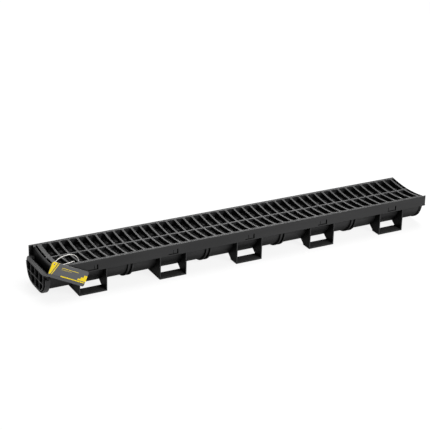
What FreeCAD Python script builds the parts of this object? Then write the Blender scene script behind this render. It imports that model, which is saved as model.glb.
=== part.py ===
# A one metre surface drain: a moulded trough on feet with a bell at its left end, a slotted
# grate that drops in between its side bands, a ribbed cap in the bell and a folded card
# tied to the grate.
#
# Every piece is drawn in the channel's own frame: X runs along the drain from the trough's
# left end, Y across it from the middle (the front is -Y), Z up from the soles of the feet.
# Each piece's Placement then moves it so that the origin is under the middle of the drain.
import FreeCAD, Part
import math
import operator
import os
from collections import namedtuple
from types import SimpleNamespace

import Sketcher
from FreeCAD import Placement, Rotation, Vector

DIMENSIONS = [
    # The moulded channel: overall sizes, walls, and the bands that stand along both sides
    ("channel_length", 1000.0),
    ("channel_width", 137.0),
    ("channel_height", 81.4),
    ("band_height", 26.0),
    ("band_wall", 3.0),
    ("ledge_thickness", 3.0),
    ("trough_wall", 3.0),
    ("floor_gap", 4.0),
    # Joint at the bands' ends: the front band starts late, the back band ends early
    ("front_setback", 8.0),
    ("back_setback", 7.0),
    ("lap_length", 5.0),
    ("lap_depth", 1.0),
    # Spigot: the trough stands out past the bands at the right, with a lip and a groove
    ("spigot", 3.0),
    ("lip_width", 4.0),
    ("lip_reach", 1.4),
    ("groove_width", 4.0),
    ("groove_depth", 1.2),
    ("groove_margin", 2.0),
    # Feet: pairs of webs joined by a sole, under both bands
    ("foot_count", 5),
    ("foot_length", 68.4),
    ("foot_depth", 29.0),
    ("web_thickness", 2.4),
    ("sole_thickness", 3.0),
    ("web_lean", 13.5),
    ("cross_web_count", 2),
    # Pairs of hoops round the trough, midway between the feet
    ("hoop_width", 4.0),
    ("hoop_spacing", 10.5),
    # Snap catches: a tongue of band between two slits, with a catch on its inner face
    ("slit_start", 21.8),
    ("slit_length", 24.4),
    ("slit_gap", 1.2),
    ("slit_leg", 2.4),
    ("slit_height", 11.0),
    ("relief_start", 36.6),
    ("relief_step", 3.3),
    ("relief_width", 1.2),
    ("relief_lift", 2.2),
    ("relief_height", 8.0),
    ("catch_length", 4.4),
    ("catch_margin", 1.0),
    ("catch_reach", 1.6),
    ("catch_height", 3.5),
    ("catch_lift", 3.6),
    # Bell moulded on the trough's left end
    ("bell_width", 122.0),
    ("bell_floor", 4.0),
    ("bell_corner", 45.0),
    ("bell_depth", 7.5),
    ("bell_web", 2.5),
    ("bell_arm_drop", 8.9),
    ("bell_round", 1.2),
    ("bell_wall", 5.5),
    ("bell_base", 3.0),
    ("bell_heel", 5.0),
    ("least_upright", 0.4),
    # End cap that plugs the bore and closes the bell
    ("cap_clearance", 0.4),
    ("cap_projection", 12.5),
    ("cap_flange", 2.5),
    ("cap_wall", 2.4),
    ("cap_rib", 2.0),
    ("panel_step", 5.6),
    ("panel_lift", 2.6),
    ("panel_heel", 9.6),
    ("panel_web", 2.0),
    ("panel_rib_height", 34.5),
    ("plug_length", 8.5),
    ("plug_wall", 2.0),
    ("plate_rise", 1.0),
    ("plate_wing", 4.4),
    ("plate_chamfer", 6.0),
    ("plate_gap", 0.3),
    ("lug_depth", 2.2),
    ("lug_drop", 7.0),
    # Grate
    ("grate_side_clearance", 0.5),
    ("grate_end_clearance", 0.5),
    ("rail_thickness", 3.0),
    ("rim_width", 2.5),
    ("rim_chamfer", 0.8),
    ("dish_sag", 5.5),
    ("bar_count", 43),
    ("bar_width", 4.6),
    ("bar_depth", 14.5),
    ("slot_margin", 4.0),
    ("slot_corner", 2.6),
    ("end_bar", 4.8),
    ("first_slot", 4.6),
    ("wide_bar", 10.2),
    ("last_slot", 7.3),
    ("end_edge", 1.2),
    ("end_slot_corner", 1.6),
    ("end_skirt", 2.5),
    ("skirt_drop", 10.0),
    ("skirt_clearance", 3.0),
    ("end_round", 8.0),
    ("end_round_width", 112.0),
    ("window_clearance", 0.4),
    # Folded card, and the string that ties it to a bar of the grate
    ("card_width", 93.2),
    ("front_leaf", 28.0),
    ("back_leaf", 35.5),
    ("card_thickness", 0.6),
    ("leaf_gap", 0.6),
    ("card_corner", 4.0),
    ("fold_height", 1.0),
    ("hole_diameter", 4.0),
    ("hole_inset", 6.0),
    ("hole_drop", 5.0),
    ("card_gap", 0.3),
    ("card_turn", 26.2),
    ("card_lean", 8.1),
    ("card_from_end", 4.2),
    ("card_rise", 16.9),
    ("string_diameter", 1.8),
    ("knot_diameter", 4.6),
    ("knot_length", 4.2),
    ("knot_taper", 1.1),
    ("knot_gap", 0.2),
]

doc = FreeCAD.newDocument("surface_drain")
sheet = doc.addObject("Spreadsheet::Sheet", "dims")
for row, (alias, number) in enumerate(DIMENSIONS, start=1):
    sheet.set(f"A{row}", alias.replace("_", " "))
    sheet.set(f"B{row}", str(number))
    sheet.setAlias(f"B{row}", alias)
doc.recompute()


# ---------------------------------------------------------------------------------------
# Sizes: each carries its value and the expression that ties it to the sheet
# ---------------------------------------------------------------------------------------
SIGNS = {"+": operator.add, "-": operator.sub, "*": operator.mul, "/": operator.truediv}


class Size:
    """A length in mm, together with the expression that gives it from the sheet."""

    def __init__(self, text, value):
        self.text = text
        self.value = value

    def __add__(self, other):
        return combined(self, "+", other)

    def __radd__(self, other):
        return combined(other, "+", self)

    def __sub__(self, other):
        return combined(self, "-", other)

    def __rsub__(self, other):
        return combined(other, "-", self)

    def __mul__(self, other):
        return combined(self, "*", other)

    def __rmul__(self, other):
        return combined(other, "*", self)

    def __truediv__(self, other):
        return combined(self, "/", other)

    def __neg__(self):
        return combined(0, "-", self)


def as_size(length):
    return length if isinstance(length, Size) else Size(str(length), float(length))


def combined(left, sign, right):
    left, right = as_size(left), as_size(right)
    return Size(f"({left.text} {sign} {right.text})", SIGNS[sign](left.value, right.value))


def root(square):
    return Size(f"sqrt({square.text})", math.sqrt(square.value))


def smaller(first, second):
    return Size(f"min({first.text}; {second.text})", min(first.value, second.value))


d = SimpleNamespace(**{alias: Size(f"dims.{alias}", float(getattr(sheet, alias)))
                       for alias, _ in DIMENSIONS})

# Levels and lines that several pieces share
side = d.channel_width / 2                            # outer face of a band
band_inside = side - d.band_wall
band_under = d.channel_height - d.band_height         # underside of the band and the ledge
ledge_top = band_under + d.ledge_thickness            # where the grate sits
trough_outer = band_under - d.floor_gap               # the trough is half round about this
trough_bore = trough_outer - d.trough_wall            # level, z = band_under
trough_middle = (trough_outer + trough_bore) / 2      # hoops and webs root in mid wall
foot_pitch = d.channel_length / d.foot_count
first_foot = (foot_pitch - d.foot_length) / 2
grate_start = d.front_setback
grate_length = d.channel_length - d.front_setback - d.back_setback - d.grate_end_clearance
catch_start = d.slit_start + d.slit_length - d.slit_leg - d.catch_margin - d.catch_length
catch_level = ledge_top + d.catch_lift


# ---------------------------------------------------------------------------------------
# Drawing: closed loops of lines and arcs, every corner tied to the sheet
# ---------------------------------------------------------------------------------------
# A corner may start an arc to the next corner: its centre, and +1 anticlockwise or
# -1 clockwise.
Corner = namedtuple("Corner", "across up centre turn", defaults=(None, 1))


def flat_point(across, up):
    return Vector(as_size(across).value, as_size(up).value, 0)


def tie(sketch, kind, edge, end, length):
    """Hold one coordinate of a point at a size, measured from the sketch's origin."""
    length = as_size(length)
    constraint = Sketcher.Constraint(kind, -1, 1, edge, end, length.value)
    index = sketch.addConstraint(constraint)
    if "dims." in length.text:
        name = f"{kind}_{edge}_{end}"
        sketch.renameConstraint(index, name)
        sketch.setExpression(f"Constraints.{name}", length.text)


def draw(sketch, loop):
    """Add one closed loop to a sketch and constrain it fully."""
    edges = []
    for corner, following in zip(loop, loop[1:] + loop[:1]):
        start = flat_point(corner.across, corner.up)
        end = flat_point(following.across, following.up)
        if corner.centre is None:
            edge = sketch.addGeometry(Part.LineSegment(start, end), False)
            edges.append((edge, 1, 2))
            continue
        centre = flat_point(*corner.centre)
        first, last = (start, end) if corner.turn > 0 else (end, start)
        begin = math.atan2(first.y - centre.y, first.x - centre.x)
        finish = math.atan2(last.y - centre.y, last.x - centre.x)
        if finish <= begin:
            finish += 2 * math.pi
        circle = Part.Circle(centre, Vector(0, 0, 1), (start - centre).Length)
        edge = sketch.addGeometry(Part.ArcOfCircle(circle, begin, finish), False)
        edges.append((edge, 1, 2) if corner.turn > 0 else (edge, 2, 1))
    for i, (edge, start, end) in enumerate(edges):
        joined = edges[(i + 1) % len(edges)]
        sketch.addConstraint(Sketcher.Constraint("Coincident", edge, end, joined[0], joined[1]))
    for corner, following, (edge, start, end) in zip(loop, loop[1:] + loop[:1], edges):
        tie(sketch, "DistanceX", edge, start, corner.across)
        tie(sketch, "DistanceY", edge, start, corner.up)
        if corner.centre is not None:
            chord = flat_point(following.across, following.up) - flat_point(corner.across, corner.up)
            if abs(chord.x) > abs(chord.y):
                tie(sketch, "DistanceY", edge, 3, corner.centre[1])
            else:
                tie(sketch, "DistanceX", edge, 3, corner.centre[0])


def mirrored(loop):
    """The same loop on the other side of the up axis."""
    flipped = []
    for corner in loop:
        centre = None if corner.centre is None else (-corner.centre[0], corner.centre[1])
        flipped.append(Corner(-corner.across, corner.up, centre, -corner.turn))
    return flipped


def rectangle(left, right, bottom, top):
    return [Corner(left, bottom), Corner(right, bottom), Corner(right, top), Corner(left, top)]


def cradle(half_width, bottom, corner, top):
    """A U with rounded lower corners and an open, flat top, drawn from its left arm."""
    return [
        Corner(-half_width, top),
        Corner(-half_width, bottom + corner, (-half_width + corner, bottom + corner), 1),
        Corner(-half_width + corner, bottom),
        Corner(half_width - corner, bottom, (half_width - corner, bottom + corner), 1),
        Corner(half_width, bottom + corner),
        Corner(half_width, top),
    ]


def half_round(radius, top=None):
    """The lower half of a circle about the trough's axis, its ends carried up to top."""
    points = [
        Corner(-radius, band_under, (0, band_under), 1),
        Corner(radius, band_under),
    ]
    if top is not None:
        points = [Corner(-radius, top)] + points + [Corner(radius, top)]
    return points


def reversed_path(path):
    """The same open run of corners, walked from its other end."""
    result = []
    for i in range(len(path) - 1, -1, -1):
        previous = path[i - 1] if i > 0 else None
        if previous is not None and previous.centre is not None:
            result.append(Corner(path[i].across, path[i].up, previous.centre, -previous.turn))
        else:
            result.append(Corner(path[i].across, path[i].up))
    return result


def between(outer, inner):
    """Closed loop of the wall between an outer and an inner open path."""
    return outer + reversed_path(inner)


def new_body(name):
    body = doc.addObject("PartDesign::Body", name)
    body.Label = name
    return body


def sketch_on(body, role, name, loops, offset=None):
    """A sketch on one of the body's origin planes, moved along its normal by offset."""
    sketch = body.newObject("Sketcher::SketchObject", name)
    plane = [f for f in body.Origin.OriginFeatures if f.Role == role][0]
    sketch.AttachmentSupport = [(plane, "")]
    sketch.MapMode = "FlatFace"
    if offset is not None:
        sketch.setExpression("AttachmentOffset.Base.z", as_size(offset).text)
    for loop in loops:
        draw(sketch, loop)
    return sketch


def pad(body, sketch, length, name, backwards=False):
    feature = body.newObject("PartDesign::Pad", name)
    feature.Profile = sketch
    feature.setExpression("Length", as_size(length).text)
    feature.Reversed = backwards
    body.Tip = feature
    return feature


def pocket(body, sketch, name, depth=None, backwards=False):
    """Cut a sketch out against its normal, right through if no depth is given."""
    feature = body.newObject("PartDesign::Pocket", name)
    feature.Profile = sketch
    if depth is None:
        feature.Type = "ThroughAll"
    else:
        feature.setExpression("Length", as_size(depth).text)
    feature.Reversed = backwards
    body.Tip = feature
    return feature


def repeat(body, features, name, pitch, count, axis="N_Axis"):
    """Copy features along X; axis is the one of the first sketch's that runs that way."""
    pattern = body.newObject("PartDesign::LinearPattern", name)
    pattern.Originals = features
    pattern.Direction = (features[0].Profile[0], [axis])
    pattern.Mode = "Spacing"
    pattern.setExpression("Offset", as_size(pitch).text)
    pattern.setExpression("Occurrences", as_size(count).text)
    body.Tip = pattern
    return pattern


# ---------------------------------------------------------------------------------------
# Channel
# ---------------------------------------------------------------------------------------
channel = new_body("channel")

# One section along the whole length: half round trough, ledges and the two bands
section = (
    [Corner(-side, d.channel_height), Corner(-side, band_under)]
    + half_round(trough_outer)
    + [Corner(side, band_under), Corner(side, d.channel_height),
       Corner(band_inside, d.channel_height), Corner(band_inside, ledge_top)]
    + reversed_path(half_round(trough_bore, ledge_top))
    + [Corner(-band_inside, ledge_top), Corner(-band_inside, d.channel_height)]
)
pad(channel, sketch_on(channel, "YZ_Plane", "channel_section", [section]),
    d.channel_length + d.spigot, "trough_and_bands")

# Hoops round the trough, down to the ground, in pairs midway between the feet
hoop_ring = between(half_round(band_under), half_round(trough_middle))
hoops = []
for name, shift in (("hoop_left", -d.hoop_spacing / 2), ("hoop_right", d.hoop_spacing / 2)):
    ring = sketch_on(channel, "YZ_Plane", f"{name}_ring", [hoop_ring],
                     foot_pitch + shift - d.hoop_width / 2)
    hoops.append(pad(channel, ring, d.hoop_width, name))
repeat(channel, hoops, "hoop_pairs", foot_pitch, d.foot_count - 1)

# Webs of the feet: each hangs from a band and runs in to the trough's wall
web_foot = side - d.foot_depth
web_root = web_foot - d.web_lean
web_top = band_under - root(trough_middle * trough_middle - web_root * web_root)
foot_web = [
    Corner(-side, band_under),
    Corner(-side, 0),
    Corner(-web_foot, 0),
    Corner(-web_foot, d.sole_thickness),
    Corner(-web_root, web_top, (0, band_under), -1),
    Corner(-trough_middle, band_under),
]
cross_web = (
    [Corner(-side, band_under), Corner(-side, 0), Corner(side, 0), Corner(side, band_under)]
    + reversed_path(half_round(trough_middle))
)
last_foot_web = first_foot + d.foot_length - d.web_thickness
right_web = pad(channel,
                sketch_on(channel, "YZ_Plane", "right_web_outline",
                          [foot_web, mirrored(foot_web)], last_foot_web),
                d.web_thickness, "right_web")
repeat(channel, [right_web], "right_webs", foot_pitch, d.foot_count)
full_web = pad(channel,
               sketch_on(channel, "YZ_Plane", "cross_web_outline", [cross_web], first_foot),
               d.web_thickness, "cross_web")
repeat(channel, [full_web], "cross_webs", foot_pitch, d.cross_web_count)
left_web = pad(channel,
               sketch_on(channel, "YZ_Plane", "left_web_outline",
                         [foot_web, mirrored(foot_web)],
                         first_foot + foot_pitch * d.cross_web_count),
               d.web_thickness, "left_web")
repeat(channel, [left_web], "left_webs", foot_pitch, d.foot_count - d.cross_web_count)

# Soles between each pair of webs
sole_plates = [rectangle(first_foot, first_foot + d.foot_length, -side, -web_foot),
               rectangle(first_foot, first_foot + d.foot_length, web_foot, side)]
sole = pad(channel, sketch_on(channel, "XY_Plane", "sole_outline", sole_plates),
           d.sole_thickness, "sole")
repeat(channel, [sole], "soles", foot_pitch, d.foot_count, "H_Axis")

# Bell: a plate round the bore, then a boxy ring whose arms stop short of the ledge
arm_top = ledge_top - d.bell_arm_drop
bell_half = d.bell_width / 2
bell_corner = smaller(d.bell_corner, arm_top - d.bell_floor - d.least_upright)
mouth_half = bell_half - d.bell_wall                  # the mouth is the bell less its wall,
mouth_floor = d.bell_floor + d.bell_base              # its base and, at the corners,
mouth_corner = bell_corner - d.bell_heel              # its heel
bell_plate = between(cradle(bell_half, d.bell_floor, bell_corner, ledge_top),
                     half_round(trough_bore, ledge_top))
pad(channel, sketch_on(channel, "YZ_Plane", "bell_plate_outline", [bell_plate]),
    d.bell_web, "bell_plate", backwards=True)
bell_ring = between(cradle(bell_half, d.bell_floor, bell_corner, arm_top),
                    cradle(mouth_half, mouth_floor, mouth_corner, arm_top))
ring = pad(channel, sketch_on(channel, "YZ_Plane", "bell_ring_outline", [bell_ring], -d.bell_web),
           d.bell_depth, "bell_ring", backwards=True)

# Its front edge is rounded all the way round the outside
doc.recompute()
bell_front = -(d.bell_web + d.bell_depth).value


def on_bell_rim(edge):
    """Whether an edge lies on the bell's front face and on its outer outline."""
    box = edge.BoundBox
    if abs(box.XMin - bell_front) > 0.01 or abs(box.XMax - bell_front) > 0.01:
        return False
    middle = edge.valueAt((edge.FirstParameter + edge.LastParameter) / 2)
    corner = bell_corner.value
    beside = max(abs(middle.y) - (bell_half.value - corner), 0)
    below = max(d.bell_floor.value + corner - middle.z, 0)
    return abs(math.hypot(beside, below) - corner) < 0.01


rim_edges = [f"Edge{i}" for i, edge in enumerate(ring.Shape.Edges, start=1) if on_bell_rim(edge)]
bell_rounding = channel.newObject("PartDesign::Fillet", "bell_rounding")
bell_rounding.Base = (ring, rim_edges)
bell_rounding.setExpression("Radius", d.bell_round.text)
channel.Tip = bell_rounding

# Right end: the bands and ledges stop, the trough goes on as a spigot with a lip round
# its end and a groove just inside it
spigot_cut = rectangle(d.channel_length, d.channel_length + 2 * d.spigot,
                       -side - d.band_wall, side + d.band_wall)
pocket(channel, sketch_on(channel, "XY_Plane", "spigot_cut_outline", [spigot_cut], band_under),
       "spigot_cut", backwards=True)
lip = between(half_round(trough_outer + d.lip_reach), half_round(trough_middle))
lip_start = d.channel_length + d.spigot - d.lip_width
pad(channel, sketch_on(channel, "YZ_Plane", "lip_outline", [lip], lip_start),
    d.lip_width, "end_lip")
groove_start = lip_start - d.groove_margin - d.groove_width
groove = between(half_round(band_under), half_round(trough_outer - d.groove_depth))
pocket(channel, sketch_on(channel, "YZ_Plane", "groove_outline", [groove], groove_start),
       "end_groove", d.groove_width, backwards=True)

# The bands end apart: set back at the left in front and at the right behind, with the
# front band's free end thinned for the lap
tab_cuts = [
    rectangle(-d.bell_web, d.front_setback, -side - d.band_wall, -band_inside),
    rectangle(d.channel_length - d.back_setback, d.channel_length + d.lip_width,
              band_inside, side + d.band_wall),
    rectangle(d.channel_length - d.lap_length, d.channel_length + d.lip_width,
              -side - d.band_wall, -side + d.lap_depth),
]
pocket(channel, sketch_on(channel, "XY_Plane", "band_end_outlines", tab_cuts, ledge_top),
       "band_ends", backwards=True)

# Slits that free a tongue of each band above every foot, cut through both bands at once
slit_left = first_foot + d.slit_start
slit_right = slit_left + d.slit_length
snap_slit = [
    Corner(slit_left, ledge_top),
    Corner(slit_right, ledge_top),
    Corner(slit_right, ledge_top + d.slit_height),
    Corner(slit_right - d.slit_leg, ledge_top + d.slit_height),
    Corner(slit_right - d.slit_leg, ledge_top + d.slit_gap),
    Corner(slit_left, ledge_top + d.slit_gap),
]
slit = pocket(channel, sketch_on(channel, "XZ_Plane", "snap_slit_outline", [snap_slit], side),
              "snap_slit")
repeat(channel, [slit], "snap_slits", foot_pitch, d.foot_count, "H_Axis")
relief_left = first_foot + d.relief_start
relief_slit = rectangle(relief_left, relief_left + d.relief_width,
                        ledge_top + d.relief_lift,
                        ledge_top + d.relief_lift + d.relief_height)
relief = pocket(channel,
                sketch_on(channel, "XZ_Plane", "relief_slit_outline", [relief_slit], side),
                "relief_slit")
repeat(channel, [relief], "relief_slits", foot_pitch - d.relief_step, d.foot_count, "H_Axis")

# Catches on the tongues: flat underneath to hold the grate down, sloped above to let it in
catch = [
    Corner(-band_inside - d.band_wall / 2, catch_level),
    Corner(-band_inside + d.catch_reach, catch_level),
    Corner(-band_inside, catch_level + d.catch_height),
    Corner(-band_inside - d.band_wall / 2, catch_level + d.catch_height),
]
catches = pad(channel,
              sketch_on(channel, "YZ_Plane", "catch_outline", [catch, mirrored(catch)],
                        first_foot + catch_start),
              d.catch_length, "catch")
repeat(channel, [catches], "catches", foot_pitch, d.foot_count)

# ---------------------------------------------------------------------------------------
# Grate
# ---------------------------------------------------------------------------------------
grate = new_body("grate")
grate_side = band_inside - d.grate_side_clearance
rail_inside = grate_side - d.rail_thickness
bar_under = d.channel_height - d.bar_depth
dish_half = grate_side - d.rim_width
dish_radius = (dish_half * dish_half + d.dish_sag * d.dish_sag) / (2 * d.dish_sag)
dish_axis = d.channel_height - d.dish_sag + dish_radius

# Section along the grate: two rails on the ledges and a deck with a dished top
deck = [
    Corner(-grate_side + d.rim_chamfer, d.channel_height),
    Corner(-grate_side, d.channel_height - d.rim_chamfer),
    Corner(-grate_side, ledge_top),
    Corner(-rail_inside, ledge_top),
    Corner(-rail_inside, bar_under),
    Corner(rail_inside, bar_under),
    Corner(rail_inside, ledge_top),
    Corner(grate_side, ledge_top),
    Corner(grate_side, d.channel_height - d.rim_chamfer),
    Corner(grate_side - d.rim_chamfer, d.channel_height),
    Corner(dish_half, d.channel_height, (0, dish_axis), -1),
    Corner(-dish_half, d.channel_height),
]
pad(grate, sketch_on(grate, "YZ_Plane", "grate_section", [deck], grate_start),
    grate_length, "rails_and_deck")

# Skirts that close both ends down to the ledges, with a tail that hangs into the trough
skirt_tail = trough_bore - d.skirt_clearance
skirt_outline = [
    Corner(-rail_inside, bar_under),
    Corner(-rail_inside, ledge_top),
    Corner(-skirt_tail, ledge_top),
    Corner(-skirt_tail, ledge_top - d.skirt_drop),
    Corner(skirt_tail, ledge_top - d.skirt_drop),
    Corner(skirt_tail, ledge_top),
    Corner(rail_inside, ledge_top),
    Corner(rail_inside, bar_under),
]
skirt = pad(grate, sketch_on(grate, "YZ_Plane", "skirt_outline", [skirt_outline], grate_start),
            d.end_skirt, "end_skirt")
repeat(grate, [skirt], "end_skirts", grate_length - d.end_skirt, 2)

# Slots, a pair to each bay: what is left between them is the bars and the middle rib
first_bar = grate_start + d.end_bar + d.first_slot + d.wide_bar - d.bar_width
last_bar_end = grate_start + grate_length - d.end_edge - d.last_slot
bar_pitch = (last_bar_end - d.bar_width - first_bar) / (d.bar_count - 1)
slot_inner = d.bar_width / 2
slot_outer = grate_side - d.slot_margin


def slot_outline(left, right, corner):
    """One slot behind the middle rib, with its outer corners cut off."""
    return [
        Corner(left, slot_inner),
        Corner(right, slot_inner),
        Corner(right, slot_outer - corner),
        Corner(right - corner, slot_outer),
        Corner(left + corner, slot_outer),
        Corner(left, slot_outer - corner),
    ]


def across_the_rib(loop):
    """The matching straight-sided loop in front of the middle rib."""
    return [Corner(corner.across, -corner.up) for corner in loop]


bay = slot_outline(first_bar + d.bar_width, first_bar + bar_pitch, d.slot_corner)
slots = pocket(grate,
               sketch_on(grate, "XY_Plane", "bay_outline", [bay, across_the_rib(bay)],
                         d.channel_height),
               "slot_pair")
repeat(grate, [slots], "slot_pairs", bar_pitch, d.bar_count - 1, "H_Axis")
left_slot = slot_outline(grate_start + d.end_bar, grate_start + d.end_bar + d.first_slot,
                         d.end_slot_corner)
right_slot = slot_outline(last_bar_end, last_bar_end + d.last_slot, d.end_slot_corner)
end_slots = [left_slot, across_the_rib(left_slot), right_slot, across_the_rib(right_slot)]
pocket(grate, sketch_on(grate, "XY_Plane", "end_slot_outlines", end_slots, d.channel_height),
       "end_slots")

# The left end rolls over: a quarter round cut along the dish, turned about the dish's axis
roll = sketch_on(grate, "XZ_Plane", "roll_outline", [])
roll.setExpression("AttachmentOffset.Base.y", dish_axis.text)
draw(roll, [
    Corner(grate_start - d.end_skirt, -dish_radius - d.end_round),
    Corner(grate_start, -dish_radius - d.end_round,
           (grate_start + d.end_round, -dish_radius - d.end_round), -1),
    Corner(grate_start + d.end_round, -dish_radius),
    Corner(grate_start + d.end_round, -dish_radius + d.dish_sag),
    Corner(grate_start - d.end_skirt, -dish_radius + d.dish_sag),
])
rolled_end = grate.newObject("PartDesign::Groove", "rolled_end")
rolled_end.Profile = roll
rolled_end.ReferenceAxis = (roll, ["H_Axis"])
rolled_end.Midplane = True
rolled_end.setExpression("Angle", f"2 * asin({(d.end_round_width / 2 / dish_radius).text})")
grate.Tip = rolled_end

# Windows in the rails for the channel's catches
window_left = first_foot + catch_start - d.window_clearance
window = rectangle(window_left, window_left + d.catch_length + 2 * d.window_clearance,
                   catch_level - d.window_clearance,
                   catch_level + d.catch_height + d.window_clearance)
windows = pocket(grate, sketch_on(grate, "XZ_Plane", "window_outline", [window], side),
                 "catch_window")
repeat(grate, [windows], "catch_windows", foot_pitch, d.foot_count, "H_Axis")

# ---------------------------------------------------------------------------------------
# End cap
# ---------------------------------------------------------------------------------------
end_cap = new_body("end_cap")
flange_half = mouth_half - d.cap_clearance
flange_floor = mouth_floor + d.cap_clearance
flange_corner = mouth_corner - d.cap_clearance
panel_half = flange_half - d.panel_step
panel_floor = flange_floor + d.panel_lift
panel_corner = flange_corner - d.panel_heel
plate_top = ledge_top + d.plate_rise
plate_under = plate_top - d.cap_wall
plate_half = flange_half + d.plate_wing
panel_back = d.bell_web + d.cap_flange                # how far in front of the trough's end

# Flange that fits the bell's mouth and seats on the plate behind it
flange = cradle(flange_half, flange_floor, flange_corner, plate_under)
pad(end_cap, sketch_on(end_cap, "YZ_Plane", "flange_outline", [flange], -d.bell_web),
    d.cap_flange, "flange", backwards=True)

# Panel in front of it, hollowed from the front and stiffened by ribs
panel = cradle(panel_half, panel_floor, panel_corner, plate_under)
pad(end_cap, sketch_on(end_cap, "YZ_Plane", "panel_outline", [panel], -panel_back),
    d.cap_projection - panel_back, "panel", backwards=True)
plate_outline = [
    Corner(-d.cap_projection, -panel_half),
    Corner(-d.cap_projection + d.plate_chamfer, -plate_half),
    Corner(-d.bell_web - d.plate_gap, -plate_half),
    Corner(-d.bell_web - d.plate_gap, plate_half),
    Corner(-d.cap_projection + d.plate_chamfer, plate_half),
    Corner(-d.cap_projection, panel_half),
]
pad(end_cap, sketch_on(end_cap, "XY_Plane", "plate_outline", [plate_outline], plate_under),
    d.cap_wall, "top_plate")
hollow = cradle(panel_half - d.cap_wall, panel_floor + d.cap_wall,
                panel_corner - d.cap_wall, plate_under)
cell_depth = d.cap_projection - panel_back - d.panel_web + d.cap_flange
pocket(end_cap, sketch_on(end_cap, "YZ_Plane", "hollow_outline", [hollow], -d.cap_projection),
       "hollow", cell_depth, backwards=True)
rib_foot = panel_floor + d.cap_wall / 2
cap_ribs = [rectangle(y - d.cap_rib / 2, y + d.cap_rib / 2, rib_foot, plate_under)
            for y in (-panel_half / 2, as_size(0), panel_half / 2)]
for i, outline in enumerate(cap_ribs, start=1):
    pad(end_cap,
        sketch_on(end_cap, "YZ_Plane", f"cap_rib_{i}_outline", [outline], -d.cap_projection),
        cell_depth, f"cap_rib_{i}")
cross_rib = rectangle(-panel_half + d.cap_wall / 2, panel_half - d.cap_wall / 2,
                      d.panel_rib_height - d.cap_rib / 2, d.panel_rib_height + d.cap_rib / 2)
pad(end_cap, sketch_on(end_cap, "YZ_Plane", "cross_rib_outline", [cross_rib], -d.cap_projection),
    cell_depth, "cross_rib")

# Lugs under the plate's wings, behind the bell's arms
lugs = []
lug_width = d.plate_wing - d.cap_clearance
for y in (-plate_half, plate_half - lug_width):
    lugs.append(rectangle(-d.bell_web - d.plate_gap - d.lug_depth, -d.bell_web - d.plate_gap,
                          y, y + lug_width))
pad(end_cap, sketch_on(end_cap, "XY_Plane", "lug_outlines", lugs, plate_under),
    d.lug_drop, "lugs", backwards=True)

# Plug: a half ring that slides into the trough's bore
plug_outer = trough_bore - d.cap_clearance
plug = between(half_round(plug_outer, plate_under),
               half_round(plug_outer - d.plug_wall, plate_under))
pad(end_cap, sketch_on(end_cap, "YZ_Plane", "plug_outline", [plug], -d.bell_web),
    d.plug_length, "plug")

# ---------------------------------------------------------------------------------------
# Folded card: drawn upright with its top left corner at the origin of its own frame
# ---------------------------------------------------------------------------------------
swing_tag = new_body("swing_tag")


def leaf_outline(height):
    right, low, corner = d.card_width, -height, d.card_corner
    return [
        Corner(0, low),
        Corner(right - corner, low, (right - corner, low + corner), 1),
        Corner(right, low + corner),
        Corner(right, -corner, (right - corner, -corner), 1),
        Corner(right - corner, 0),
        Corner(corner, 0, (corner, -corner), 1),
        Corner(0, -corner),
    ]


pad(swing_tag, sketch_on(swing_tag, "XZ_Plane", "back_leaf_outline", [leaf_outline(d.back_leaf)]),
    d.card_thickness, "back_leaf")
pad(swing_tag,
    sketch_on(swing_tag, "XZ_Plane", "front_leaf_outline", [leaf_outline(d.front_leaf)],
              d.card_thickness + d.leaf_gap),
    d.card_thickness, "front_leaf")
fold = rectangle(d.card_corner, d.card_width - d.card_corner, -d.fold_height, 0)
pad(swing_tag, sketch_on(swing_tag, "XZ_Plane", "fold_outline", [fold], d.card_thickness / 2),
    d.card_thickness + d.leaf_gap, "fold")
hole_radius = d.hole_diameter / 2
hole = [
    Corner(d.hole_inset - hole_radius, -d.hole_drop, (d.hole_inset, -d.hole_drop), 1),
    Corner(d.hole_inset + hole_radius, -d.hole_drop, (d.hole_inset, -d.hole_drop), 1),
]
pocket(swing_tag,
       sketch_on(swing_tag, "XZ_Plane", "hole_outline", [hole],
                 2 * d.card_thickness + d.leaf_gap),
       "hole")

# ---------------------------------------------------------------------------------------
# Where each piece stands in the drain's frame
# ---------------------------------------------------------------------------------------
# The cap stands out in front of the trough, so the middle of the drain lies to its left
middle = (d.channel_length + d.spigot - d.cap_projection) / 2
for body in (channel, grate, end_cap):
    body.setExpression("Placement.Base.x", (-middle).text)

# The card leans on the front band's top edge and hangs turned in its own plane
lean = math.radians(d.card_lean.value)
card_turned = Rotation(Vector(1, 0, 0), -d.card_lean.value).multiply(
    Rotation(Vector(0, 1, 0), d.card_turn.value))
card_corner_at = Vector(
    (d.card_from_end - middle).value,
    -(side + d.card_gap).value + d.card_rise.value * math.tan(lean),
    (d.channel_height + d.card_rise).value,
)
swing_tag.Placement = Placement(card_corner_at, card_turned)

# Knot behind the card: a barrel wider than the hole, whose tapered end sits in the rim
string_knot = new_body("string_knot")
knot_end = d.knot_diameter / 2 - d.knot_taper
knot_half = d.knot_length / 2
knot_side = sketch_on(string_knot, "XZ_Plane", "knot_side", [[
    Corner(0, -knot_half),
    Corner(knot_end, -knot_half),
    Corner(d.knot_diameter / 2, -knot_half + d.knot_taper),
    Corner(d.knot_diameter / 2, knot_half - d.knot_taper),
    Corner(knot_end, knot_half),
    Corner(0, knot_half),
]])
barrel = string_knot.newObject("PartDesign::Revolution", "barrel")
barrel.Profile = knot_side
barrel.ReferenceAxis = (knot_side, ["V_Axis"])
barrel.Angle = 360
string_knot.Tip = barrel
hole_at = swing_tag.Placement.multVec(
    Vector(d.hole_inset.value, 0, -d.hole_drop.value))
backwards = card_turned.multVec(Vector(0, 1, 0))
knot_stand_off = knot_half - (hole_radius - knot_end) + d.knot_gap
knot_at = hole_at + backwards * knot_stand_off.value
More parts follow.
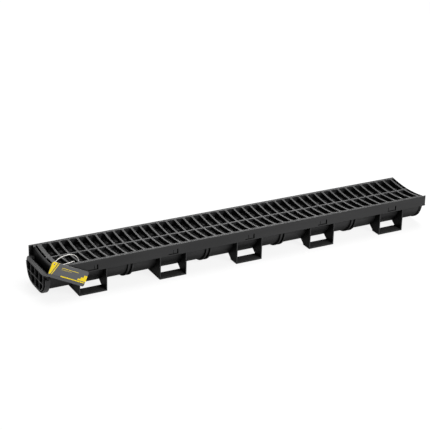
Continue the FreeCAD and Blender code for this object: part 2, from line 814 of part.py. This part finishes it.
string_knot.Placement = Placement(knot_at, Rotation(Vector(0, 0, 1), backwards))

# String: from the knot up over the card's corner, in a loose hoop over the grate, down
# through a slot, under a bar and back up behind the card to the knot. The points are
# measured from the left end of the front band's top edge.
STRING_ROUTE = [
    (15.5, 7.6, 14.6),
    (27.0, 10.6, 18.2),
    (40.0, 14.4, 18.6),
    (53.0, 18.6, 16.8),
    (64.0, 22.6, 11.6),
    (71.2, 26.2, 4.2),
    (78.0, 29.0, -6.5),
    (78.0, 27.0, -20.0),
    (64.2, 19.0, -20.0),
    (63.6, 17.0, -7.0),
    (59.5, 14.0, 0.6),
    (52.0, 10.4, 1.6),
    (42.0, 6.4, 2.0),
    (28.0, 4.0, 2.6),
    (15.0, 3.0, 5.2),
]
STRING_SIDES = 8
edge_at = Vector(-middle.value, -side.value, d.channel_height.value)
route = [edge_at + Vector(*point) for point in STRING_ROUTE]
first_way = (route[0] - knot_at).normalize()
last_way = (route[-1] - knot_at).normalize()
knot_shoulder = knot_half - d.knot_taper
reach = root(d.knot_diameter * d.knot_diameter / 4 + knot_shoulder * knot_shoulder).value
route = [knot_at + first_way * reach] + route + [knot_at + last_way * reach]


def rounded_path(points):
    """Straight runs joined by the largest tangent arcs that the shorter run allows."""
    edges, radii, here = [], [], points[0]
    for before, corner, after in zip(points, points[1:], points[2:]):
        to_before = (before - corner).normalize()
        to_after = (after - corner).normalize()
        cut = 0.45 * min((before - corner).Length, (after - corner).Length)
        half_turn = (math.pi - to_before.getAngle(to_after)) / 2
        radius = cut / math.tan(half_turn)
        arc_start, arc_end = corner + to_before * cut, corner + to_after * cut
        inward = (to_before + to_after).normalize()
        centre = corner + inward * (radius / math.cos(half_turn))
        arc_middle = centre - inward * radius
        edges.append(Part.LineSegment(here, arc_start).toShape())
        edges.append(Part.Arc(arc_start, arc_middle, arc_end).toShape())
        radii.append(radius)
        here = arc_end
    edges.append(Part.LineSegment(here, points[-1]).toShape())
    return Part.Wire(edges), radii


string_path, string_radii = rounded_path(route)
string_radius = (d.string_diameter / 2).value
start_across = first_way.cross(Vector(0, 0, 1)).normalize()
start_rim = [route[0] + Rotation(first_way, 360 * i / STRING_SIDES).multVec(start_across) * string_radius
             for i in range(STRING_SIDES)]
string_end = Part.makePolygon(start_rim + start_rim[:1])
tag_string = doc.addObject("Part::Feature", "tag_string")
tag_string.Shape = string_path.makePipeShell([string_end], True, False)
tag_string.Label = "tag_string"
tag_string.Placement = Placement()
string_section = STRING_SIDES / 2 * math.sin(2 * math.pi / STRING_SIDES) * string_radius ** 2
print("string length", round(string_path.Length, 2),
      "smallest radii", [round(r, 1) for r in sorted(string_radii)[:4]],
      "volume over section by length",
      round(tag_string.Shape.Volume / (string_section * string_path.Length), 4))
print("string points", [[round(c, 2) for c in point] for point in route])

# ---------------------------------------------------------------------------------------
# Check the whole document, then write one file to each piece
# ---------------------------------------------------------------------------------------
doc.recompute()
for thing in doc.Objects:
    if "Invalid" in thing.State or "Error" in thing.State:
        raise RuntimeError(f"{thing.Name} failed: {thing.State}")
    if thing.TypeId == "Sketcher::SketchObject" and not thing.FullyConstrained:
        raise RuntimeError(f"{thing.Name} is not fully constrained")
    base = getattr(thing, "BaseFeature", None)
    if thing.TypeId.startswith("PartDesign::") and base is not None and hasattr(base, "Shape"):
        change = thing.Shape.Volume - base.Shape.Volume
        cuts = thing.TypeId in ("PartDesign::Pocket", "PartDesign::Groove")
        if abs(change) < 0.01 or (cuts and change > 0):
            raise RuntimeError(f"{thing.Name} changes the volume by {change:.3f}")

os.makedirs("parts", exist_ok=True)
for piece in (channel, grate, end_cap, swing_tag, string_knot, tag_string):
    shape = piece.Shape
    if shape.isNull() or not shape.isValid() or len(shape.Solids) != 1:
        raise RuntimeError(f"{piece.Label} is not one valid solid")
    shape.exportStep(f"parts/{piece.Label}.step")
    box = shape.BoundBox
    print(f"{piece.Label}: {box.XLength:.2f} x {box.YLength:.2f} x {box.ZLength:.2f} mm,",
          f"z {box.ZMin:.2f} to {box.ZMax:.2f}, volume {shape.Volume / 1000:.2f} cm3")
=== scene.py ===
import math

import bmesh
import bpy
from mathutils import Matrix, Vector


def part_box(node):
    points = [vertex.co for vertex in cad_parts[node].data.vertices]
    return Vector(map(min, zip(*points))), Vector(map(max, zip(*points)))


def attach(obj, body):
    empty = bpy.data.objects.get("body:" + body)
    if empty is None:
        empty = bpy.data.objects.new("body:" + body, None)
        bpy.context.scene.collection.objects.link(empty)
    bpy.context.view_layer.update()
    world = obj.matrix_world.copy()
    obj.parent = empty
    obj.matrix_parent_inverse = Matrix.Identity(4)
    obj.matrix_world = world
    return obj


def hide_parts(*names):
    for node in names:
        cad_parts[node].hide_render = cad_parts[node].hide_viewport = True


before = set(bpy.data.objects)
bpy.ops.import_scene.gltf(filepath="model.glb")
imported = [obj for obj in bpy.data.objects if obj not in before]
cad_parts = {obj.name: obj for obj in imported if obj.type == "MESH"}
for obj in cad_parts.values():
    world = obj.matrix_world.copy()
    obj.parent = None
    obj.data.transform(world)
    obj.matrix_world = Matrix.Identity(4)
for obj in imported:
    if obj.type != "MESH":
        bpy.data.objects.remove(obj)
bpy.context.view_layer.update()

# ---------------------------------------------------------------------------------------
# Camera: a long lens to the left of the drain, in front of it and above it, turned a
# little clockwise about its own line of sight.
# ---------------------------------------------------------------------------------------
looks_at = Vector((-0.0529, 0, 0.103))
camera_distance, lens_length, farthest_seen = 3.5477, 126.1, 50
bearing, climb, tilt = math.radians(-28.471), math.radians(23.498), math.radians(1.56)
away = Vector((math.sin(bearing) * math.cos(climb),
               -math.cos(bearing) * math.cos(climb),
               math.sin(climb)))
level = Vector((0, 0, 1)).cross(away).normalized()
upright = away.cross(level)
camera_right = level * math.cos(tilt) + upright * math.sin(tilt)
camera_up = upright * math.cos(tilt) - level * math.sin(tilt)
camera_data = bpy.data.cameras.new("camera")
camera_data.lens = lens_length
camera_data.clip_end = farthest_seen
camera = bpy.data.objects.new("camera", camera_data)
facing = Matrix((camera_right, camera_up, away)).transposed().to_4x4()
camera.matrix_world = Matrix.Translation(looks_at + away * camera_distance) @ facing
bpy.context.scene.collection.objects.link(camera)
bpy.context.scene.camera = camera

# ---------------------------------------------------------------------------------------
# String: a limp three-ply cord of pale synthetic yarn. It leaves the knot behind the card,
# rises over the card's corner in a loose hoop, goes down beside a bar of the grate, under
# it, and back along the bars' tops to the knot.
# ---------------------------------------------------------------------------------------
string_thickness = 0.0018
string_route = [
    (-0.48598, -0.06475, 0.09218), (-0.47975, -0.0609, 0.096), (-0.46825, -0.0579, 0.0996),
    (-0.45525, -0.0541, 0.100), (-0.44225, -0.0499, 0.0982), (-0.43125, -0.0459, 0.093),
    (-0.42405, -0.0423, 0.0856), (-0.41725, -0.0395, 0.0749), (-0.41725, -0.0415, 0.0614),
    (-0.43105, -0.0495, 0.0614), (-0.43165, -0.0515, 0.0744), (-0.43575, -0.0545, 0.082),
    (-0.44325, -0.0581, 0.083), (-0.45325, -0.0621, 0.0834), (-0.46725, -0.0645, 0.084),
    (-0.48025, -0.0655, 0.0866), (-0.48571, -0.0658, 0.08977),
]
plies = 3
strand_radius = string_thickness / 2 / (1 + 2 / math.sqrt(3))
strand_offset = string_thickness / 2 - strand_radius
strand_sides = 8
twist_length = 0.0056
fresh_yarn, soiled_yarn = (0.86, 0.85, 0.82, 1), (0.55, 0.53, 0.49, 1)


def link(name, data):
    """Put a mesh or a curve into the scene as an object of its own."""
    made = bpy.data.objects.new(name, data)
    bpy.context.scene.collection.objects.link(made)
    return made


def smooth_line(points, closed=False):
    """The points along a smooth spline led by the given ones."""
    curve = bpy.data.curves.new("line", "CURVE")
    curve.dimensions = "3D"
    spline = curve.splines.new("NURBS")
    spline.points.add(len(points) - 1)
    for leader, place in zip(spline.points, points):
        leader.co = (*place, 1)
    spline.use_cyclic_u = closed
    spline.order_u = 3
    spline.use_endpoint_u = not closed
    spline.resolution_u = 16
    holder = link("line", curve)
    mesh = bpy.data.meshes.new_from_object(holder)
    line = [vertex.co.copy() for vertex in mesh.vertices]
    bpy.data.objects.remove(holder)
    return line


def tubes_along(name, lines, radius, sides, closed=False):
    """One mesh of round tubes, each along its own line of points."""
    curve = bpy.data.curves.new(name, "CURVE")
    curve.dimensions = "3D"
    curve.bevel_depth = radius
    curve.bevel_resolution = sides // 2 - 2
    curve.use_fill_caps = True
    for line in lines:
        spline = curve.splines.new("POLY")
        spline.points.add(len(line) - 1)
        for point, place in zip(spline.points, line):
            point.co = (*place, 1)
        spline.use_cyclic_u = closed
    holder = link(name, curve)
    mesh = bpy.data.meshes.new_from_object(holder)
    bpy.data.objects.remove(holder)
    mesh.shade_smooth()
    return mesh


class Wire:
    """An output of a material's nodes. Arithmetic on it adds the Math nodes for that."""

    def __init__(self, finish, socket):
        self.finish = finish
        self.socket = socket

    def worked(self, operation, first, second):
        """A number worked out from two others by a Math node."""
        return self.finish.node("ShaderNodeMath", {"operation": operation},
                                {0: first, 1: second})

    def __add__(self, other):
        return self.worked("ADD", self, other)

    __radd__ = __add__

    def __sub__(self, other):
        return self.worked("SUBTRACT", self, other)

    def __rsub__(self, other):
        return self.worked("SUBTRACT", other, self)

    def __mul__(self, other):
        return self.worked("MULTIPLY", self, other)

    __rmul__ = __mul__

    def __mod__(self, other):
        return self.worked("MODULO", self, other)

    def within(self, low, high):
        """A soft-edged mask: 0 at low and below, 1 at high and above."""
        return self.finish.node("ShaderNodeMapRange", {"interpolation_type": "SMOOTHSTEP"},
                                {"Value": self, "From Min": low, "From Max": high})

    def between(self, low, high, edge):
        """A mask of the band from low to high, with edges that wide."""
        return (self.within(low - edge / 2, low + edge / 2)
                * self.within(high + edge / 2, high - edge / 2))


class Finish:
    """A material, built up from its nodes."""

    def __init__(self, name, owner=None):
        self.owner = owner or bpy.data.materials.new(name)
        self.owner.use_nodes = True
        self.tree = self.owner.node_tree
        self.tree.nodes.clear()

    def node(self, kind, settings, values, output=0):
        """Add a node: its settings first, then the values or links of its sockets."""
        made = self.tree.nodes.new(kind)
        for setting, value in settings.items():
            setattr(made, setting, value)
        for socket, value in values.items():
            if isinstance(value, Wire):
                self.tree.links.new(value.socket, made.inputs[socket])
            else:
                made.inputs[socket].default_value = value
        return Wire(self, made.outputs[output]) if made.outputs else None

    def place(self):
        """Where a point lies on its object."""
        return self.node("ShaderNodeTexCoord", {}, {}, "Object")

    def noise(self, size, place=None, detail=3.0, roughness=0.55):
        """Noise whose lumps are about size metres across."""
        return self.node("ShaderNodeTexNoise", {}, {
            "Vector": place or self.place(), "Scale": 1 / size, "Detail": detail,
            "Roughness": roughness})

    def blend(self, mask, below, above):
        """One colour laid over another where the mask is 1."""
        return self.node("ShaderNodeMix", {"data_type": "RGBA"},
                         {0: mask, 6: below, 7: above}, 2)

    def split(self, vector, axis):
        """How far a vector reaches along X, Y or Z."""
        return self.node("ShaderNodeSeparateXYZ", {}, {"Vector": vector}, axis)

    def dot(self, first, second):
        """How far one direction, or an offset, goes along another."""
        return self.node("ShaderNodeVectorMath", {"operation": "DOT_PRODUCT"},
                         {0: first, 1: second}, "Value")

    def bumped(self, height, depth, normal=None):
        """A surface's direction, tilted by a height that is up to depth metres."""
        values = {"Height": height, "Distance": depth}
        if normal is not None:
            values["Normal"] = normal
        return self.node("ShaderNodeBump", {}, values)

    def done(self, **sockets):
        """Finish with a Principled shader; a socket's name is written with underscores."""
        values = {name.replace("_", " "): value for name, value in sockets.items()}
        shader = self.node("ShaderNodeBsdfPrincipled", {}, values)
        self.node("ShaderNodeOutputMaterial", {}, {"Surface": shader})
        return self.owner


def across_of(along):
    """Two directions square to a line's own direction."""
    side = along.cross(Vector((0, 0, 1))).normalized()
    return side, along.cross(side).normalized()


string_line = smooth_line(string_route)
strands = []
for ply in range(plies):
    strand, walked = [], 0.0
    for before, here in zip(string_line, string_line[1:]):
        side, over = across_of((here - before).normalized())
        for part in (0.0, 0.5):
            reached = walked + part * (here - before).length
            turn = math.tau * (reached / twist_length + ply / plies)
            strand.append(before.lerp(here, part) + strand_offset
                          * (side * math.cos(turn) + over * math.sin(turn)))
        walked += (here - before).length
    strands.append(strand)

yarn = Finish("pale_yarn")
fibres = yarn.noise(0.0002, detail=4.0)
soiling = yarn.noise(0.009).within(0.45, 0.75)
pale_yarn = yarn.done(
    Base_Color=yarn.blend(soiling * 0.35 + fibres * 0.2, fresh_yarn, soiled_yarn),
    Roughness=0.72 + fibres * 0.2,
    Normal=yarn.bumped(fibres, 0.00006))

string = link("tag_string_plies",
              tubes_along("tag_string_plies", strands, strand_radius, strand_sides))
string.data.materials.append(pale_yarn)
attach(string, "root")
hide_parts("tag_string")

# ---------------------------------------------------------------------------------------
# Knot: both ends of the string, of the same pale yarn, tied in one tight overhand knot
# that is too big for the card's hole and so holds the card from behind.
# ---------------------------------------------------------------------------------------
card_lean = math.radians(8.1)
behind_card = Vector((0, math.cos(card_lean), -math.sin(card_lean)))
knot_low, knot_high = (Vector(corner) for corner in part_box("string_knot"))
knot_middle = (knot_low + knot_high) / 2
knot_loop = 0.00048
knot_yarn_radius, knot_yarn_sides = 0.00075, 10
knot_steps, knot_depth = 18, 1.6

knot_route = []
for step in range(knot_steps):
    angle = math.tau * step / knot_steps
    knot_route.append(Vector((math.sin(angle) + 2 * math.sin(2 * angle),
                              math.cos(angle) - 2 * math.cos(2 * angle),
                              -knot_depth * math.sin(3 * angle))) * knot_loop)
standing = Vector((0, 0, 1)).rotation_difference(behind_card).to_matrix()
knot_line = [knot_middle + standing @ point for point in smooth_line(knot_route, closed=True)]
knot = link("string_knot_tied",
            tubes_along("string_knot_tied", [knot_line], knot_yarn_radius, knot_yarn_sides,
                        closed=True))
knot.data.materials.append(pale_yarn)
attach(knot, "root")
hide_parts("string_knot")

# ---------------------------------------------------------------------------------------
# Card: laminated board, printed charcoal with yellow bars and folded over at its top edge,
# so that two leaves hang from the string through one hole. Cut edges show its grey core.
# ---------------------------------------------------------------------------------------
card_corner = Vector((-0.49105, -0.0664, 0.0983))
card_turn = math.radians(26.2)
card_face = Matrix.Rotation(-card_lean, 3, "X") @ Matrix.Rotation(card_turn, 3, "Y")
card_across, card_down, card_out = (card_face @ Vector(axis) for axis in
                                    ((1, 0, 0), (0, 0, -1), (0, -1, 0)))
charcoal, dark_board = (0.085, 0.086, 0.090, 1), (0.060, 0.061, 0.065, 1)
yellow, board_core = (1.0, 0.74, 0.0, 1), (0.30, 0.29, 0.27, 1)
rubbed_grey = (0.26, 0.26, 0.26, 1)
print_edge = 0.0003

board = Finish("printed_card")


def measured(axis):
    """How far a point lies from the card's corner along one of the card's own axes."""
    offset = board.node("ShaderNodeVectorMath", {"operation": "SUBTRACT"},
                        {0: board.place(), 1: card_corner})
    return board.dot(offset, axis)


across, down, out = measured(card_across), measured(card_down), measured(card_out)
front = out.within(0.0011, 0.0013)                       # the front leaf starts 1.2 mm out
slant = across + down * 0.35
left_bars = slant.within(0.0142, 0.0137) + slant.between(0.0162, 0.0182, print_edge)
right_steps = down.within(0.0256, 0.0259) * across.within(0.0300, 0.0303)
for step_top, step_foot, step_left in ((0.0205, 0.0240, 0.0720), (0.0160, 0.0205, 0.0785),
                                       (0.0105, 0.0160, 0.0850)):
    right_steps += (down.between(step_top, step_foot, print_edge)
                    * across.within(step_left, step_left + print_edge))
rules = (down.between(0.0080, 0.0089, print_edge) * across.between(0.027, 0.070, print_edge)
         + down.between(0.0116, 0.0122, print_edge) * across.between(0.027, 0.052, print_edge))
printed = (left_bars + right_steps + rules) * front
facing_out = board.dot(board.node("ShaderNodeNewGeometry", {}, {}, "True Normal"), card_out)
cut_edge = (facing_out * facing_out).within(0.6, 0.3)
fibre = board.noise(0.0007, detail=5.0)
rubbed = board.noise(0.006).within(0.52, 0.8) * 0.07
ground = board.blend(front, dark_board, charcoal)
inked = board.blend(printed, ground, yellow)
aged = board.blend(rubbed + fibre * 0.03, inked, rubbed_grey)
printed_card = board.done(
    Base_Color=board.blend(cut_edge, aged, board_core),
    Roughness=0.42 + fibre * 0.16 + cut_edge * 0.3,
    Normal=board.bumped(fibre, 0.00002))


def dress(name, material):
    """Give one of the CAD pieces its material. Its mesh and place stay as they are."""
    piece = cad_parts[name]
    piece.data.materials.clear()
    piece.data.materials.append(material)


dress("swing_tag", printed_card)

# ---------------------------------------------------------------------------------------
# Channel: black plastic, taken to be polypropylene, moulded in one piece with its feet,
# hoops and bell, and finely textured. The grate and the end cap fit into it.
# ---------------------------------------------------------------------------------------
foot_pitch = 0.2
bell_web, bell_depth = 0.0025, 0.0075
trough_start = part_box("channel")[0].x + bell_web + bell_depth
# Painted shade: past this X, faces square to the length and undersides are mixed this far
# towards the dull black below.
shade_from, shade_share = -0.494, 0.75
shade_black = (0.002, 0.002, 0.002, 1)


def plastic_surface(plastic, body, rub_and_highlight, upward_tint, gloss, flow):
    """Black plastic with flow marks along X, paler upward faces, and slightly round edges
    drawn paler as rubbed wear and a painted highlight.
    """
    mark_length, grain_size, cloud_size = 0.03, 0.0006, 0.012
    edge_radius, texture_depth, tint_spread = 0.0009, 0.00005, 0.14
    flow_place = plastic.node("ShaderNodeMapping", {}, {
        "Vector": plastic.place(), "Scale": (flow, 1, 1)})
    marks = plastic.noise(mark_length, flow_place)
    grain = plastic.noise(grain_size, detail=2.0, roughness=0.7)
    clouds = plastic.noise(cloud_size, detail=4.0)
    flat = plastic.node("ShaderNodeNewGeometry", {}, {}, "Normal")
    rounded = plastic.node("ShaderNodeBevel", {"samples": 6}, {"Radius": edge_radius})
    # Edges are drawn paler: partly rubbed wear, partly a painted highlight.
    edge = ((1 - plastic.dot(rounded, flat)).within(0.015, 0.16)
            * (0.55 + 0.45 * clouds.within(0.35, 0.6)))
    # Upward faces are drawn paler and rougher.
    upward = plastic.split(flat, "Z").within(0.6, 1.0)
    upward_share = upward * (0.35 + 0.65 * clouds.within(0.3, 0.7))
    darker, paler = (tuple(share * part for part in body[:3]) + (1,)
                     for share in (1 - tint_spread, 1 + tint_spread))
    upward_tinted = plastic.blend(upward_share * 0.5, plastic.blend(marks.within(0.3, 0.7), darker, paler),
                           upward_tint)
    return plastic.node("ShaderNodeBsdfPrincipled", {}, {
        "Base Color": plastic.blend(edge * 0.6, upward_tinted, rub_and_highlight),
        "Specular IOR Level": 0.2,
        "Roughness": gloss + 0.10 * marks + 0.06 * grain + 0.10 * upward_share,
        "Normal": plastic.bumped(grain + 0.5 * clouds, texture_depth, rounded)})


def shade_free_share(plastic):
    """1 on open faces, and towards 0 where shade is painted: in corners and slots, by
    occlusion.

    Faces square to the length, and undersides, get painted shade too, past the bell. That is a
    look chosen for its contrast and not a known property of the plastic.
    """
    corner_reach, slot_reach = 0.003, 0.025
    corners, slots = (
        plastic.node("ShaderNodeAmbientOcclusion", {"samples": 6}, {"Distance": reach}, "AO")
        for reach in (corner_reach, slot_reach))
    flat = plastic.node("ShaderNodeNewGeometry", {}, {}, "Normal")
    lengthwise = plastic.split(flat, "X")
    square_on = (lengthwise * lengthwise).within(0.5, 0.9)
    underside = (0 - plastic.split(flat, "Z")).within(0.05, 0.8)
    past_bell = plastic.split(plastic.place(), "X").within(shade_from, shade_from + 0.002)
    shaded_faces = (square_on + underside).within(0.0, 1.0) * past_bell
    return (slots.within(-0.1, 0.75) * corners.within(0.1, 0.9)
            * (1 - shade_share * shaded_faces))


def moulded_plastic(name, body, rub_and_highlight, upward_tint, gloss, flow, extra_shade=None):
    """Black plastic with painted shade: dull black where it isn't open, or where a mask adds
    it.
    """
    plastic = Finish(name)
    surface = plastic_surface(plastic, body, rub_and_highlight, upward_tint, gloss, flow)
    # A dull black diffuse, mixed in as painted shade.
    painted_shade = plastic.node("ShaderNodeBsdfDiffuse", {}, {"Color": shade_black})
    unshaded = shade_free_share(plastic)
    # Where a mask is given, painted shade goes there too.
    if extra_shade:
        unshaded = unshaded * (1 - extra_shade(plastic))
    shaded_plastic = plastic.node("ShaderNodeMixShader", {}, {0: unshaded, 1: painted_shade, 2: surface})
    plastic.node("ShaderNodeOutputMaterial", {}, {"Surface": shaded_plastic})
    return plastic.owner


def slit_shade(plastic):
    """A dark rim of painted shade round each snap catch's slits, so that slits this narrow
    show.

    It isn't a known mark of the plastic. Each band has a set at each foot.
    """
    first_slit, slit_height, rim, rim_edge = 0.0876, 0.0584, 0.0005, 0.0003
    slit_length, slit_gap, leg_width, leg_height = 0.0244, 0.0012, 0.0024, 0.011
    length, depth, height = (plastic.split(plastic.place(), axis) for axis in "XYZ")
    along = (length - trough_start - first_slit + foot_pitch) % foot_pitch
    above = height - slit_height
    foot = (along.between(-rim, slit_length + rim, rim_edge)
            * above.between(-rim, slit_gap + rim, rim_edge))
    leg = (along.between(slit_length - leg_width - rim, slit_length + rim, rim_edge)
           * above.between(-rim, leg_height + rim, rim_edge))
    outside = (depth * depth).within(0.0040, 0.0043)     # squares of 63 mm and 66 mm
    return (foot + leg).within(0.0, 1.0) * outside * 0.85


channel_plastic = moulded_plastic(
    "channel_plastic", body=(0.026, 0.026, 0.0265, 1), rub_and_highlight=(0.07, 0.07, 0.071, 1),
    upward_tint=(0.035, 0.035, 0.0345, 1), gloss=0.40, flow=0.15, extra_shade=slit_shade)
dress("channel", channel_plastic)

# ---------------------------------------------------------------------------------------
# Grate: the same plastic from another mould, dished, with bars across it. It drops onto
# the channel's ledges, where ten catches hold it. Its upward faces are drawn paler.
# ---------------------------------------------------------------------------------------
grate_plastic = moulded_plastic(
    "grate_plastic", body=(0.017, 0.017, 0.0175, 1), rub_and_highlight=(0.075, 0.075, 0.076, 1),
    upward_tint=(0.055, 0.055, 0.054, 1), gloss=0.40, flow=0.3)
dress("grate", grate_plastic)

# ---------------------------------------------------------------------------------------
# End cap: a thin moulding of the same plastic, hollowed from the front and stiffened by
# ribs. Its plug is pushed into the trough's bore, and its flange seats in the bell.
# ---------------------------------------------------------------------------------------
cap_plastic = moulded_plastic(
    "cap_plastic", body=(0.030, 0.030, 0.0305, 1), rub_and_highlight=(0.22, 0.22, 0.221, 1),
    upward_tint=(0.05, 0.05, 0.049, 1), gloss=0.42, flow=1.0)
dress("end_cap", cap_plastic)

# ---------------------------------------------------------------------------------------
# Floor: a wide pale paper sheet under the drain. It shows white and keeps the drain's
# shadow, and it throws only a little light back on the drain.
# ---------------------------------------------------------------------------------------
sheet_reach = 9
white, dim_paper, bright_paper = (1, 1, 1, 1), (0.28, 0.28, 0.28, 1), (0.95, 0.95, 0.95, 1)
floor_mesh = bpy.data.meshes.new("studio_floor")
shape = bmesh.new()
bmesh.ops.create_grid(shape, x_segments=1, y_segments=1, size=sheet_reach)
shape.to_mesh(floor_mesh)
shape.free()
floor = link("studio_floor", floor_mesh)


def seen_directly(finish):
    """1 for what the lens, a reflection or a clear piece sees, 0 for the light it gives."""
    kinds = [finish.node("ShaderNodeLightPath", {}, {}, f"Is {kind} Ray")
             for kind in ("Camera", "Glossy", "Transmission")]
    return (kinds[0] + kinds[1] + kinds[2]).within(0.0, 1.0)


paper = Finish("pale_paper")
seen = seen_directly(paper)
matt = paper.node("ShaderNodeBsdfPrincipled", {}, {
    "Base Color": paper.blend(seen, dim_paper, bright_paper),
    "Roughness": 1.0, "Specular IOR Level": 0.0})
glow = paper.node("ShaderNodeEmission", {}, {"Color": white, "Strength": 1.0})
lit = paper.node("ShaderNodeMixShader", {}, {0: seen * 0.85, 1: matt, 2: glow})
paper.node("ShaderNodeOutputMaterial", {}, {"Surface": lit})
floor_mesh.materials.append(paper.owner)

# ---------------------------------------------------------------------------------------
# Studio light: an even white room and three soft lamps, one overhead, a low one behind
# the drain and one in front of it.
# ---------------------------------------------------------------------------------------
room = bpy.data.worlds.new("white_room")
bpy.context.scene.world = room
sky = Finish("white_room", room)
given_light = sky.node("ShaderNodeBackground", {}, {"Color": white, "Strength": 0.22})
backdrop = sky.node("ShaderNodeBackground", {}, {"Color": white, "Strength": 1.0})
room_light = sky.node("ShaderNodeMixShader", {}, {0: seen_directly(sky), 1: given_light,
                                                  2: backdrop})
sky.node("ShaderNodeOutputWorld", {}, {"Surface": room_light})


def soft_lamp(name, at, towards, size, watts):
    """A square lamp with soft edges to its shadows, turned towards a point."""
    data = bpy.data.lights.new(name, "AREA")
    data.size = size
    data.energy = watts
    lamp = link(name, data)
    lamp.location = at
    lamp.rotation_euler = (Vector(towards) - Vector(at)).to_track_quat("-Z", "Y").to_euler()


soft_lamp("overhead", (0.3, 0.5, 2.2), (0, 0, 0), 1.8, 60)
soft_lamp("low_behind", (1.1, 2.2, 1.1), (0, 0, 0.05), 1.4, 22)
soft_lamp("front", (0.9, -2.3, 1.4), (0, 0, 0.05), 1.2, 60)

bpy.context.scene.view_settings.view_transform = "Standard"
